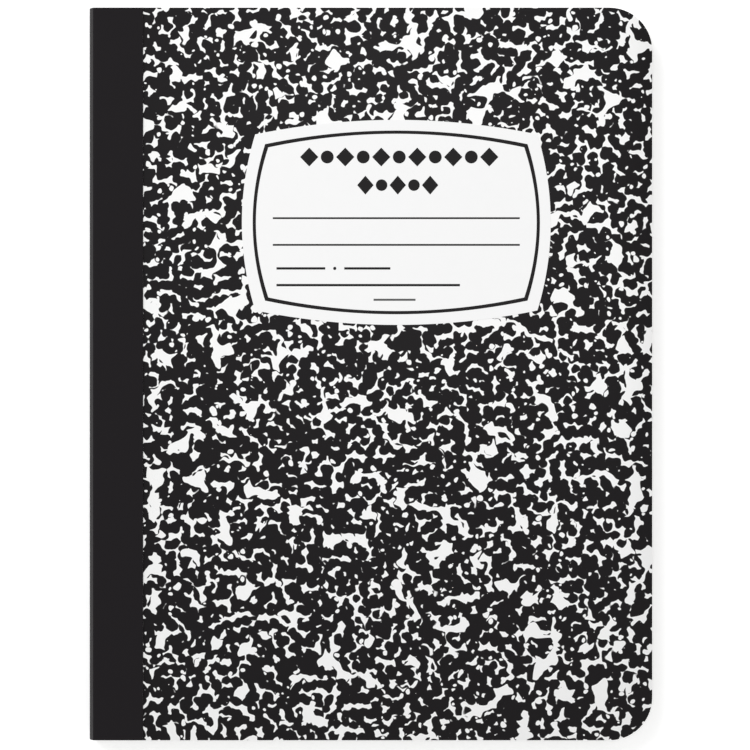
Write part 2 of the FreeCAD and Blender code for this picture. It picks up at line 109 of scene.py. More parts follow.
class NotebookSizes(PropertyGroup):
    """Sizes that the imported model's boxes don't give."""

    corner_radius: length("Corner radius", "Rounding of the fore-edge corners", 14.5 * MM)
    print_thickness: length("Print thickness", "Marbled paper on each board", 0.08 * MM)
    seat_depth: length("Seat depth", "How deep the tape is pressed into a board", 0.05 * MM)
    seat_slope: length("Seat slope", "Run of the step at the edge of the seat", 0.02 * MM)
    board_edge_radius: length("Board edge radius", "Crushed spine edge of a board", 0.5 * MM)
    tape_thickness: length("Tape thickness", "Binding tape", 0.22 * MM)
    tape_crown_radius: length("Tape crown radius", "Inside of the tape across the spine", 7.2 * MM)
    fold_reach: length("Fold reach", "How far the fold stands out past the boards", 1.18 * MM)
    fold_crown_radius: length("Fold crown radius", "Back of the outermost folded sheet", 7.0 * MM)
    fold_shoulder_radius: length("Fold shoulder radius", "Turn of the outer sheet into the fold", 2.6 * MM)
    lining_thickness: length("Lining thickness", "Sheet pasted inside both covers", 0.15 * MM)
    sheet_count: IntProperty(
        name="Folded sheets", description="Each makes two leaves", default=50, min=10, max=80
    )
    cut_raggedness: length("Cut raggedness", "Most that a leaf lies in from the fore-edge", 0.06 * MM)
    head_margin: length("Head margin", "Head edge to the first rule", 32.5 * MM)
    tail_margin: length("Tail margin", "Least distance from the last rule to the tail edge", 10 * MM)
    rule_pitch: length("Rule pitch", "From rule to rule, wide ruled", 8.73 * MM)
    rule_width: length("Rule width", "Thickness of a printed rule", 0.28 * MM)
    margin_line: length("Margin line", "Spine face to the margin line", 31.75 * MM)


class NotebookLabel(PropertyGroup):
    """Print on the title label. Heights are above the label's middle, and places right of it."""

    side_bulge: length("Side bulge", "How far each side of the label swells out", 4.5 * MM)
    top_bulge: length("Top bulge", "How far its head and its tail swell out", 4.9 * MM)
    ring_width: length("Ring width", "Printed ring from side to side", 96 * MM)
    ring_height: length("Ring height", "Printed ring from head to tail", 61 * MM)
    ring_side_bulge: length("Ring side bulge", "How far each side of the ring swells out", 4.2 * MM)
    ring_top_bulge: length("Ring top bulge", "How far its head and its tail swell out", 4.6 * MM)
    ring_line: length("Ring line", "Thickness of the ring's line", 1.1 * MM)
    upper_line: length("Upper line", "Height of the upper writing line", 1.43 * MM)
    lower_line: length("Lower line", "Height of the lower writing line", -7.6 * MM)
    line_length: length("Line length", "Length of the writing lines", 83.5 * MM)
    line_width: length("Line width", "Thickness of the writing lines", 0.62 * MM)
    ornament_height: length("Ornament height", "Height of a lozenge", 6.4 * MM)
    bar_width: length("Bar width", "Thickness of the bars for the small print", 0.8 * MM)
    faint_bar_width: length("Faint bar width", "Thickness of the grey bar", 0.7 * MM)


class NotebookColours(PropertyGroup):
    """Colours of the papers, inks, tape and thread."""

    marbling_black: colour("Marbling black", "Ground of the marbled paper", 0.0085, 0.0072, 0.0082)
    marbling_white: colour("Marbling white", "Flecks of the marbled paper", 0.96, 0.96, 0.955)
    tape: colour("Tape", "Binding tape", 0.0072, 0.0055, 0.0070)
    board_core: colour("Board core", "Cut edge of the boards", 0.36, 0.33, 0.29)
    leaf: colour("Leaf", "Writing paper", 0.88, 0.88, 0.85)
    lining: colour("Lining", "Sheet pasted inside the covers", 0.84, 0.84, 0.81)
    rule: colour("Rule", "Printed rules", 0.30, 0.52, 0.76)
    margin: colour("Margin", "Printed margin line", 0.78, 0.30, 0.36)
    label: colour("Label", "Label paper", 0.95, 0.95, 0.95)
    ink: colour("Ink", "Black ink of the label", 0.0085, 0.0075, 0.0080)
    grey_ink: colour("Grey ink", "Small print of the label", 0.10, 0.10, 0.10)
    thread: colour("Thread", "Sewing thread", 0.78, 0.76, 0.70)


class NotebookStage(PropertyGroup):
    """Camera and light."""

    lens: FloatProperty(name="Lens", description="Focal length in millimetres", default=200)
    view_width: length("View width", "Width of the picture at the front cover", 253.5 * MM)
    aim_x: length("Aim X", "Middle of the picture", 1.55 * MM)
    aim_y: length("Aim Y", "Middle of the picture", -0.35 * MM)
    daylight: FloatProperty(name="Daylight", description="Strength of the even light all round", default=0.72)
    lamp_power: FloatProperty(
        name="Lamp power", description="Power of the large soft lamp", default=20, unit="POWER"
    )
    lamp_size: length("Lamp size", "Diameter of the large soft lamp", 1.4)
    floor_glow: FloatProperty(name="Floor glow", description="What makes the floor look white", default=0.34)
    floor_reach: length("Floor reach", "Middle of the floor to each edge", 3.0)


class Wire:
    """An output of a node. Python's operators on numbers add Math nodes to the same material."""

    def __init__(self, finish, socket):
        self.finish = finish
        self.socket = socket

    def math(self, operation, first, second):
        return self.finish.add("ShaderNodeMath", {"operation": operation}, {0: first, 1: second})

    def math_of(self, operation):
        """A function of this value alone, such as SINE."""
        return self.finish.add("ShaderNodeMath", {"operation": operation}, {0: self})

    def lesser(self, other):
        return self.math("MINIMUM", self, other)

    def __add__(self, other):
        return self.math("ADD", self, other)

    def __radd__(self, other):
        return self.math("ADD", other, self)

    def __sub__(self, other):
        return self.math("SUBTRACT", self, other)

    def __rsub__(self, other):
        return self.math("SUBTRACT", other, self)

    def __mul__(self, other):
        return self.math("MULTIPLY", self, other)

    def __rmul__(self, other):
        return self.math("MULTIPLY", other, self)

    def output(self, name):
        """Another output of the same node."""
        return Wire(self.finish, self.socket.node.outputs[name])


class Finish:
    """A material round one Principled shader. fixed holds the values that are the same all over."""

    def __init__(self, name, fixed):
        self.material = bpy.data.materials.new(name)
        self.material.use_nodes = True
        self.tree = self.material.node_tree
        self.shader = self.tree.nodes["Principled BSDF"]
        for socket, value in fixed.items():
            self.shader.inputs[socket].default_value = value

    def feed(self, socket, value):
        if isinstance(value, Wire):
            self.tree.links.new(value.socket, socket)
        else:
            socket.default_value = value

    def add(self, kind, settings, values, output=0):
        """Any node: its type, its settings, and the values or links of its sockets."""
        node = self.tree.nodes.new(kind)
        for name, value in settings.items():
            setattr(node, name, value)
        for key, value in values.items():
            self.feed(node.inputs[key], value)
        return Wire(self, node.outputs[output])

    def show(self, **varying):
        """Links what changes over the surface, such as Base_Color, to the shader."""
        for name, value in varying.items():
            self.feed(self.shader.inputs[name.replace("_", " ")], value)
        return self.material

    def millimetres(self, stretch=(1, 1, 1)):
        """The place on the object in millimetres, stretched along each axis."""
        place = self.add("ShaderNodeTexCoord", {}, {}, "Object")
        scale = tuple(s / MM for s in stretch)
        return self.add("ShaderNodeVectorMath", {"operation": "MULTIPLY"}, {0: place, 1: scale})

    def shift(self, place, by):
        return self.add("ShaderNodeVectorMath", {"operation": "ADD"}, {0: place, 1: by})

    def noise(self, place, scale, detail=2.0, roughness=0.5):
        values = {"Vector": place, "Scale": scale, "Detail": detail, "Roughness": roughness}
        return self.add("ShaderNodeTexNoise", {}, values)

    def between(self, value, low, high, to_low=0.0, to_high=1.0):
        """A smooth step from to_low to to_high as value goes from low to high."""
        values = {"Value": value, "From Min": low, "From Max": high, "To Min": to_low, "To Max": to_high}
        return self.add("ShaderNodeMapRange", {"interpolation_type": "SMOOTHSTEP"}, values)

    def mix(self, first, second, share):
        """Colour that is first where share is 0 and second where it is 1."""
        values = {0: share, 6: opaque(first), 7: opaque(second)}
        return self.add("ShaderNodeMix", {"data_type": "RGBA"}, values, 2)

    def relief(self, height, depth):
        """A normal from a height between 0 and 1 that stands for depth in metres."""
        return self.add("ShaderNodeBump", {}, {"Height": height, "Distance": depth, "Strength": 1.0})


def opaque(value):
    return value if isinstance(value, Wire) else (*value, 1.0)


def dimmed(value, share):
    return tuple(part * share for part in value)


def wandering(finish, place, scale, amount):
    """The place pushed about by up to amount millimetres, so that what is drawn there curls."""
    drift = finish.add("ShaderNodeTexNoise", {}, {"Vector": place, "Scale": scale, "Detail": 0.0}, "Color")
    push = finish.add("ShaderNodeVectorMath", {"operation": "SUBTRACT"}, {0: drift, 1: (0.5, 0.5, 0.5)})
    push = finish.add("ShaderNodeVectorMath", {"operation": "SCALE"}, {0: push, "Scale": amount})
    return finish.shift(place, push)


def cells(finish, place, spacing, settings, values):
    """Distance from the nearest of many scattered points about spacing millimetres apart, as a share of
    that spacing."""
    return finish.add(
        "ShaderNodeTexVoronoi", {"voronoi_dimensions": "2D", **settings},
        {"Vector": place, "Scale": 1 / spacing, **values},
    )


def droplets(finish, place, spacing, size, merging):
    """Droplets of ink about spacing millimetres apart, which run together where they nearly touch.
    Gives the height over their rim: above 0 inside a droplet, below 0 in the gaps between them."""
    distance = cells(finish, place, spacing, {"feature": "SMOOTH_F1"}, {"Smoothness": merging})
    return (size - distance) * spacing


def marbled_paper(name, colours, shift):
    """Black ink laid in small and middling droplets. The white left between them is specks and forked
    flecks, and where the droplets shrink round a splash it is a large fleck with curved arms. Dots of
    white are strewn over all of it."""
    speck_spacing, fleck_spacing, dot_spacing, splash_spacing = 2.5, 5.2, 4.0, 25
    splash_core, splash_reach = 0.2 / splash_spacing, 5.0 / splash_spacing
    dot_growth, dot_rarity = 0.60, 0.36
    edge = 0.06
    finish = Finish(name, {"Specular IOR Level": 0.16})
    place = finish.shift(finish.millimetres(), (*shift, 0))
    fine = wandering(finish, place, scale=0.50, amount=1.2)
    middling = wandering(finish, finish.shift(place, (37, 92, 0)), scale=0.34, amount=3.0)
    crowding = finish.between(finish.noise(place, 0.06, 1.0), 0.3, 0.7, -0.03, 0.03)
    from_splash = cells(finish, middling, splash_spacing, {}, {"Randomness": 0.8})
    splash = finish.between(from_splash, splash_core, splash_reach, 0.55, 0.0)
    specks = droplets(finish, fine, speck_spacing, size=0.603 + crowding, merging=0.5)
    flecks = droplets(finish, middling, fleck_spacing, size=0.702 - crowding - splash, merging=0.35)
    from_dot = cells(finish, finish.shift(fine, (11, 53, 0)), dot_spacing, {}, {})
    chance = finish.add("ShaderNodeSeparateColor", {}, {0: from_dot.output("Color")})
    dots = (from_dot - dot_growth * chance + dot_rarity) * dot_spacing
    ink = finish.between(specks.lesser(flecks).lesser(dots), -edge, edge)
    fibre = finish.noise(place, 7.0, 3.0)
    white = finish.mix(dimmed(colours.marbling_white, 0.96), colours.marbling_white, fibre)
    black = finish.mix(dimmed(colours.marbling_black, 0.8), dimmed(colours.marbling_black, 1.2), fibre)
    return finish.show(
        Base_Color=finish.mix(white, black, ink),
        Roughness=0.66 - 0.10 * ink + 0.08 * fibre,
        Normal=finish.relief(fibre, 0.004 * MM),
    )


def binding_tape(colours):
    """Coated book cloth: a fine plain weave that the coating half fills."""
    finish = Finish("binding_tape", {"Specular IOR Level": 0.15})
    thread_pitch = 0.42
    place = wandering(finish, finish.millimetres(), scale=0.5, amount=0.25)
    along = finish.add("ShaderNodeSeparateXYZ", {}, {0: place})
    round_spine = along + (along.output("Z") - MIDDLE / MM).math_of("ABSOLUTE")
    turn = math.pi / thread_pitch
    weft = (round_spine * turn).math_of("SINE")
    warp = (along.output("Y") * turn).math_of("SINE")
    weave = 0.5 + 0.5 * weft * warp
    grain = finish.noise(place, 2.6, 4.0)
    worn = finish.noise(place, 0.08, 2.0)
    tone = finish.mix(dimmed(colours.tape, 0.80), dimmed(colours.tape, 1.25), 0.6 * weave + 0.4 * grain)
    return finish.show(
        Base_Color=tone,
        Roughness=0.50 + 0.10 * grain + 0.06 * worn,
        Normal=finish.relief(0.7 * weave + 0.3 * grain, 0.02 * MM),
    )


def board_core(colours):
    """Grey board, seen where it is cut: pressed layers with fibres between them."""
    finish = Finish("board_core", {"Specular IOR Level": 0.3})
    layers = finish.noise(finish.millimetres((0.35, 0.35, 9.0)), 1.0, 4.0, 0.65)
    fibre = finish.noise(finish.millimetres((1.5, 1.5, 6.0)), 1.0, 3.0)
    tone = finish.between(0.6 * layers + 0.4 * fibre, 0.35, 0.65)
    return finish.show(
        Base_Color=finish.mix(dimmed(colours.board_core, 0.78), dimmed(colours.board_core, 1.15), tone),
        Roughness=0.86 + 0.10 * fibre,
        Normal=finish.relief(layers, 0.05 * MM),
    )


def paper(name, tone, tooth, fixed_roughness):
    """Plain paper: cloudy formation, and a fibre tooth that is tooth metres deep."""
    finish = Finish(name, {"Specular IOR Level": 0.28})
    place = finish.millimetres()
    clouds = finish.noise(place, 0.22, 3.0)
    fibre = finish.noise(place, 5.0, 4.0, 0.6)
    shade = finish.mix(dimmed(tone, 0.96), tone, 0.5 * clouds + 0.5 * fibre)
    return finish.show(
        Base_Color=shade,
        Roughness=fixed_roughness + 0.08 * fibre,
        Normal=finish.relief(fibre, tooth),
    )


def cut_edges(colours):
    """Edges of the stacked leaves. Some sheets take more dust than others when they are cut."""
    finish = Finish("cut_edges", {"Specular IOR Level": 0.28})
    fibre = finish.noise(finish.millimetres(), 5.0, 4.0, 0.6)
    sheets = finish.noise(finish.millimetres((0.02, 0.02, 4.5)), 1.0, 4.0, 0.7)
    dust = finish.between(sheets, 0.42, 0.62)
    return finish.show(
        Base_Color=finish.mix(dimmed(colours.leaf, 0.87), colours.leaf, 0.65 * dust + 0.35 * fibre),
        Roughness=0.70 + 0.08 * fibre,
        Normal=finish.relief(fibre, 0.010 * MM),
    )


def printing_ink(name, tone):
    """Ink on paper, a little smoother than the paper and not quite even."""
    finish = Finish(name, {"Specular IOR Level": 0.22})
    place = finish.millimetres()
    fibre = finish.noise(place, 5.0, 3.0)
    return finish.show(
        Base_Color=finish.mix(dimmed(tone, 0.85), dimmed(tone, 1.15), fibre),
        Roughness=0.55 + 0.08 * fibre,
        Normal=finish.relief(fibre, 0.003 * MM),
    )


def sewing_thread(colours):
    """Two-ply cotton: slanting plies and loose fibres."""
    finish = Finish("sewing_thread", {"Specular IOR Level": 0.3})
    plies = finish.add(
        "ShaderNodeTexWave", {"bands_direction": "DIAGONAL"},
        {"Vector": finish.millimetres(), "Scale": 0.9, "Distortion": 0.4},
    )
    fibre = finish.noise(finish.millimetres(), 9.0, 3.0)
    return finish.show(
        Base_Color=finish.mix(dimmed(colours.thread, 0.7), colours.thread, 0.6 * plies + 0.4 * fibre),
        Roughness=0.75 + 0.1 * fibre,
        Normal=finish.relief(plies, 0.03 * MM),
    )


def add_piece(name, vertices, faces, materials, smooth_angle):
    """A mesh object from lists, with points that coincide made one and its faces turned outwards. Edges
    that turn by less than smooth_angle degrees are shaded smooth."""
    mesh = bpy.data.meshes.new(name)
    mesh.from_pydata(vertices, [], faces)
    for material in materials:
        mesh.materials.append(material)
    shape = bmesh.new()
    shape.from_mesh(mesh)
    bmesh.ops.remove_doubles(shape, verts=shape.verts, dist=0.0001 * MM)
    bmesh.ops.recalc_face_normals(shape, faces=shape.faces)
    shape.to_mesh(mesh)
    shape.free()
    mesh.shade_smooth()
    mesh.set_sharp_from_angle(angle=math.radians(smooth_angle))
    piece = bpy.data.objects.new(name, mesh)
    bpy.context.scene.collection.objects.link(piece)
    return piece


def corner_arc(radius, inset=0.0, steps=14):
    """Points of a rounded fore-edge corner at the head, from the straight head edge to the fore-edge."""
    points = []
    for step in range(steps + 1):
        turn = math.radians(90) * step / steps
        x = FORE_EDGE - radius + (radius - inset) * math.sin(turn)
        y = HALF_LENGTH - radius + (radius - inset) * math.cos(turn)
        points.append((x, y))
    return points


def mirrored(height):
    """The same height below the middle of the book as it was above it."""
    return 2 * MIDDLE - height


def ladder(rows, mirror=False):
    """A closed plate from rows of rungs. A rung is (x, y, z): its ends lie at y and -y. All rows have
    as many rungs; the first row is the plate's underside and the last one its top."""
    count = len(rows[0])
    vertices = []
    for row in rows:
        for x, y, z in row:
            height = mirrored(z) if mirror else z
            vertices.append((x, y, height))
            vertices.append((x, -y, height))

    def corner(row, rung, side):
        return (row * count + rung) * 2 + side

    faces = []
    for row in (0, len(rows) - 1):
        for rung in range(count - 1):
            faces.append([
                corner(row, rung, 0), corner(row, rung, 1),
                corner(row, rung + 1, 1), corner(row, rung + 1, 0),
            ])
    for row in range(len(rows) - 1):
        for side in (0, 1):
            for rung in range(count - 1):
                faces.append([
                    corner(row, rung, side), corner(row, rung + 1, side),
                    corner(row + 1, rung + 1, side), corner(row + 1, rung, side),
                ])
        for rung in (0, count - 1):
            faces.append([
                corner(row, rung, 0), corner(row, rung, 1),
                corner(row + 1, rung, 1), corner(row + 1, rung, 0),
            ])
    return vertices, faces


def board_row(sizes, height, inset, crushed, sunk):
    """One level of a board: rungs from its spine edge to its fore-edge. Its outline is drawn in by inset,
    its spine edge by crushed, and the tape's seat is sunk by that much."""
    side = HALF_LENGTH - inset
    row = [(FRONT_LOW.x + crushed, side, height - sunk)]
    row.append((TAPE_HIGH.x, side, height - sunk))
    row.append((TAPE_HIGH.x + sizes.seat_slope, side, height))
    row += [(x, y, height) for x, y in corner_arc(sizes.corner_radius, inset)]
    return row


def spine_inset(sizes, height):
    """How far the crushed spine edge of a board lies in from its widest, at that height."""
    radius = sizes.board_edge_radius
    above = height - (FRONT_HIGH.z - sizes.seat_depth - radius)
    if above <= 0:
        return 0.0
    return radius - math.sqrt(max(radius**2 - min(above, radius) ** 2, 0.0))


def build_board(sizes, colours, side, mirror, core_finish, print_finish, edge_finish):
    """A board's grey core and the marbled paper on it."""
    low, high = FRONT_LOW.z, FRONT_HIGH.z
    soft = 0.04 * MM
    print_lap, print_sink = 0.1 * MM, 0.03 * MM
    crush_start, crush_step, crush_count = low + 0.45 * MM, 0.047 * MM, 10
    joint = high - sizes.print_thickness
    core_levels = [(low, soft), (low + soft, 0.0)]
    core_levels += [(crush_start + crush_step * step, 0.0) for step in range(crush_count)]
    core_levels.append((joint, 0.0))
    rows = [board_row(sizes, z, inset, spine_inset(sizes, z), 0.0) for z, inset in core_levels]
    vertices, faces = ladder(rows, mirror)
    core = add_piece(f"{side}_board_core", vertices, faces, [core_finish], 35)
    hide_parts(f"{side}_board")
    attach(core, f"{side}_cover")
    top_inset = spine_inset(sizes, high - sizes.seat_depth)
    rows = [
        board_row(sizes, joint, 0.0, spine_inset(sizes, joint), 0.0),
        board_row(sizes, high - soft, 0.0, top_inset - print_lap, sizes.seat_depth - print_sink),
        board_row(sizes, high, soft, top_inset, sizes.seat_depth),
    ]
    vertices, faces = ladder(rows, mirror)
    sheet = add_piece(f"{side}_cover_print", vertices, faces, [print_finish, edge_finish], 60)
    for face in sheet.data.polygons:
        face.material_index = 0 if abs(face.normal.z) > 0.4 else 1
    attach(sheet, f"{side}_cover")


def wound_sheet(path, thickness, inner_offset=0.0, mirror=False):
    """A sheet that follows a path across the spine. A point of the path is (x, z, normal_x, normal_z, y):
    the sheet runs from -y to y there. Returns vertices and faces of the closed solid."""
    vertices = []
    for x, z, normal_x, normal_z, y in path:
        for offset in (inner_offset, inner_offset + thickness):
            height = z + normal_z * offset
            if mirror:
                height = mirrored(height)
            for side in (1, -1):
                vertices.append((x + normal_x * offset, side * y, height))
    faces = []
    last = len(path) - 1
    for i in range(last):
        a, b = 4 * i, 4 * (i + 1)
        faces += [
            [a, a + 1, b + 1, b], [a + 2, b + 2, b + 3, a + 3],
            [a, b, b + 2, a + 2], [a + 1, a + 3, b + 3, b + 1],
        ]
    for a in (0, 4 * last):
        faces.append([a, a + 1, a + 3, a + 2])
    return vertices, faces


def arc_path(centre_x, centre_z, radius, start, end, steps, y=None):
    """Path points on an arc, between two angles in degrees."""
    y = HALF_LENGTH if y is None else y
    path = []
    for step in range(steps + 1):
        turn = math.radians(start + (end - start) * step / steps)
        normal_x, normal_z = math.cos(turn), math.sin(turn)
        path.append((centre_x + radius * normal_x, centre_z + radius * normal_z, normal_x, normal_z, y))
    return path


def tape_path(sizes):
    """Inner face of the tape, from the middle of the spine to its edge on the front cover."""
    radius = sizes.board_edge_radius
    crown = sizes.tape_crown_radius
    crown_x = TAPE_LOW.x + sizes.tape_thickness + crown
    flap = FRONT_HIGH.z - sizes.seat_depth
    edge_gap = 0.05 * MM
    bend_x = FRONT_LOW.x + radius - edge_gap
    bend_z = flap - radius
    across, up = bend_x - crown_x, bend_z - MIDDLE
    turn = math.degrees(math.atan2(up, across) + math.acos((crown - radius) / math.hypot(across, up)))
    path = arc_path(crown_x, MIDDLE, crown, 180, turn, 10)
    bend = arc_path(bend_x, bend_z, radius, turn, 90, 12)
    start, end = path[-1], bend[0]
    slope_steps = 22
    for step in range(1, slope_steps):
        share = step / slope_steps
        path.append(tuple(a + (b - a) * share for a, b in zip(start, end)))
    path += bend
    edge = TAPE_HIGH.x
    for share in (0.1, 0.25, 0.5, 0.75, 0.97, 1.0):
        path.append((bend_x + (edge - bend_x) * share, flap, 0.0, 1.0, HALF_LENGTH))
    return path


def bend_at_hinge(piece, mirror, block_end, cover_end):
    """Bakes the piece's placement into its mesh; the piece is not bent at the hinge. block_end and cover_end
    are (x, z) at the front cover, and mirror turns them over to the back one; the points made from them are
    not used."""
    block_x, block_z = block_end
    cover_x, cover_z = cover_end
    if mirror:
        start, end = (block_x, 0, mirrored(block_z)), (cover_x, 0, mirrored(cover_z))
        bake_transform(piece)
    else:
        start, end = (cover_x, 0, cover_z), (block_x, 0, block_z)
        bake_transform(piece)


def build_tape(sizes, colours):
    """The tape in two halves that meet at the middle of the spine."""
    finish = binding_tape(colours)
    for side in ("front", "back"):
        mirror = side == "back"
        vertices, faces = wound_sheet(tape_path(sizes), sizes.tape_thickness, mirror=mirror)
        tape = add_piece(f"{side}_tape", vertices, faces, [finish], 40)
        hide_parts("spine_tape")
        block_end = (FRONT_LOW.x, FRONT_LOW.z - 0.52 * MM)
        cover_end = (FRONT_LOW.x, FRONT_LOW.z + 0.58 * MM)
        bend_at_hinge(tape, mirror, block_end, cover_end)


def fold_path(sizes, depth, edge_insets, middle_only=False):
    """Middle of a folded sheet that lies depth inside the outermost face of the block: from the bottom
    fore-edge round the fold to the top one, or from the middle of the fold if middle_only is set."""
    half = (BLOCK_HIGH.z - BLOCK_LOW.z) / 2
    level = half - depth
    nose_share = 0.93
    nose_depth = depth * nose_share
    shoulder = max(sizes.fold_shoulder_radius * level / half, 0.0)
    crown_x = FRONT_LOW.x - sizes.fold_reach + sizes.fold_crown_radius
    crown = sizes.fold_crown_radius - nose_depth
    rise = level - shoulder
    shoulder_x = crown_x - math.sqrt(max((crown - shoulder) ** 2 - rise**2, 0.0))
    turn = math.degrees(math.atan2(rise, shoulder_x - crown_x))
    bottom, top, tail = edge_insets
    upper = arc_path(crown_x, MIDDLE, crown, 180, turn, 6, HALF_LENGTH - tail)
    upper += arc_path(shoulder_x, MIDDLE + rise, shoulder, turn, 90, 9, HALF_LENGTH - tail)[1:]
    flat = []
    radius = sizes.corner_radius
    for x, y in corner_arc(radius, 0.0, 10):
        flat.append((x, min(y, HALF_LENGTH - tail)))
    upper_flat = [(x - top * (x > FORE_EDGE - radius), MIDDLE + level, 0.0, 1.0, y) for x, y in flat]
    lower_flat = [(x - bottom * (x > FORE_EDGE - radius), MIDDLE - level, 0.0, -1.0, y) for x, y in flat]
    lower = [(x, mirrored(z), nx, -nz, y) for x, z, nx, nz, y in upper]
    if middle_only:
        return upper + upper_flat
    return list(reversed(lower_flat)) + list(reversed(lower))[:-1] + upper + upper_flat


def build_lining(sizes, colours):
    """The lining in two halves. Each is glued to the fold and pasted inside its own cover."""
    finish = paper("lining_paper", colours.lining, 0.012 * MM, 0.74)
    for side in ("front", "back"):
        mirror = side == "back"
        path = fold_path(sizes, 0.0, (0.0, 0.0, 0.0), middle_only=True)
        path = refine(path, 0.07 * MM, FLAT_FROM)
        vertices, faces = wound_sheet(path, sizes.lining_thickness, mirror=mirror)
        lining = add_piece(f"{side}_lining", vertices, faces, [finish], 40)
        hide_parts("lining_sheet")
        block_end = (FRONT_LOW.x - 0.30 * MM, FRONT_LOW.z - 0.92 * MM)
        cover_end = (FRONT_LOW.x + 0.70 * MM, FRONT_LOW.z - 0.25 * MM)
        bend_at_hinge(lining, mirror, block_end, cover_end)


def refine(path, step, until_x):
    """The same path with a point every step where x is below until_x."""
    fine = [path[0]]
    for before, after in zip(path, path[1:]):
        reach = 1.0
        if after[0] > until_x:
            reach = max(0.0, (until_x - before[0]) / (after[0] - before[0]))
        if reach > 0:
            parts = max(1, round(math.dist(before[:2], after[:2]) * reach / step))
            for part in range(1, parts + 1):
                share = reach * part / parts
                fine.append(tuple(a + (b - a) * share for a, b in zip(before, after)))
        if reach < 1:
            fine.append(after)
    return fine


def build_leaves(sizes, colours):
    """Fifty folded sheets, nested at the fold. The outermost one carries the ruling that can be seen."""
    leaf = paper("writing_paper", colours.leaf, 0.010 * MM, 0.70)
    rule = printing_ink("rule_ink", colours.rule)
    margin = printing_ink("margin_ink", colours.margin)
    pitch = (BLOCK_HIGH.z - BLOCK_LOW.z) / 2 / sizes.sheet_count
    paper_share = 0.84
    thickness = paper_share * pitch
    cut = random.Random(11)
    inner_vertices, inner_faces = [], []
    for number in range(sizes.sheet_count):
        depth = (number + 0.5) * pitch
        insets = (0.0, 0.0, 0.0)
        if number > 0:
            insets = tuple(cut.uniform(0.0, sizes.cut_raggedness) for _ in range(3))
        path = fold_path(sizes, depth, insets)
        vertices, faces = wound_sheet(path, thickness, -thickness / 2)
        if number == 0:
            outer = add_piece("ruled_sheet", vertices, faces, [leaf, rule, margin], 40)
            print_rules(outer, sizes)
            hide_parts("page_block")
            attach(outer, "book_block")
            continue
        first = len(inner_vertices)
        inner_vertices += vertices
        inner_faces += [[index + first for index in face] for face in faces]
    inner = add_piece("folded_sheets", inner_vertices, inner_faces, [cut_edges(colours)], 40)
    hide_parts("page_block")
    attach(inner, "book_block")


def print_rules(sheet, sizes):
    """Cuts the rules and the margin line out of the sheet's outer faces and inks them."""
    half = sizes.rule_width / 2
    first = HALF_LENGTH - sizes.head_margin
    count = int((first + HALF_LENGTH - sizes.tail_margin) / sizes.rule_pitch) + 1
    heights = [first - n * sizes.rule_pitch for n in range(count)]
    margin_x = TAPE_LOW.x + sizes.margin_line
    lines = [Vector((0, y + side, 0)) for y in heights for side in (-half, half)]
    columns = [Vector((margin_x + side, 0, 0)) for side in (-half, half)]
    shape = bmesh.new()
    shape.from_mesh(sheet.data)
    for place, direction in [(p, (0, 1, 0)) for p in lines] + [(p, (1, 0, 0)) for p in columns]:
        everything = shape.verts[:] + shape.edges[:] + shape.faces[:]
        bmesh.ops.bisect_plane(shape, geom=everything, plane_co=place, plane_no=direction)
    bmesh.ops.dissolve_degenerate(shape, edges=shape.edges, dist=0.001 * MM)
    for face in shape.faces:
        centre = face.calc_center_median()
        outside = abs(face.normal.z) > 0.99 and (centre.z - MIDDLE) * face.normal.z > 0
        if not outside or centre.x < FLAT_FROM:
            continue
        if abs(centre.x - margin_x) < half:
            face.material_index = 2
        elif any(abs(centre.y - y) < half for y in heights):
            face.material_index = 1
    shape.to_mesh(sheet.data)
    shape.free()


def barrel(half_width, half_height, side_bulge, top_bulge, steps=24):
    """Outline of the label: four arcs that bulge between four sharp corners."""
    corner_x, corner_y = half_width - side_bulge, half_height - top_bulge
    points = []
    for step in range(steps):
        along = -1 + 2 * step / steps
        points.append((half_width - side_bulge * along**2, corner_y * along))
    for step in range(steps):
        along = 1 - 2 * step / steps
        points.append((corner_x * along, half_height - top_bulge * along**2))
    return points + [(-x, -y) for x, y in points]


def bar(left, right, y, width):
    return [(left, y - width / 2), (right, y - width / 2), (right, y + width / 2), (left, y + width / 2)]


def lozenge(x, y, width, height):
    return [(x + width / 2, y), (x, y + height / 2), (x - width / 2, y), (x, y - height / 2)]


def disc(x, y, radius, steps=20):
    return [
        (x + radius * math.cos(math.tau * n / steps), y + radius * math.sin(math.tau * n / steps))
        for n in range(steps)
    ]


def ornament_row(x, y, pitch, count, height):
    """Lozenges and discs in turn, from middle to middle one pitch apart, about the place x, y."""
    lozenge_share, disc_share = 1.02, 0.36
    first = x - pitch * (count - 1) / 2
    shapes = []
    for n in range(count):
        if n % 2 == 0:
            shapes.append(lozenge(first + n * pitch, y, lozenge_share * pitch, height))
        else:
            shapes.append(disc(first + n * pitch, y, disc_share * pitch))
    return shapes


def inside(shape, x, y):
    """Whether a point lies in a closed outline."""
    found = False
    for (x1, y1), (x2, y2) in zip(shape, shape[1:] + shape[:1]):
        if (y1 > y) != (y2 > y) and x < x1 + (x2 - x1) * (y - y1) / (y2 - y1):
            found = not found
    return found


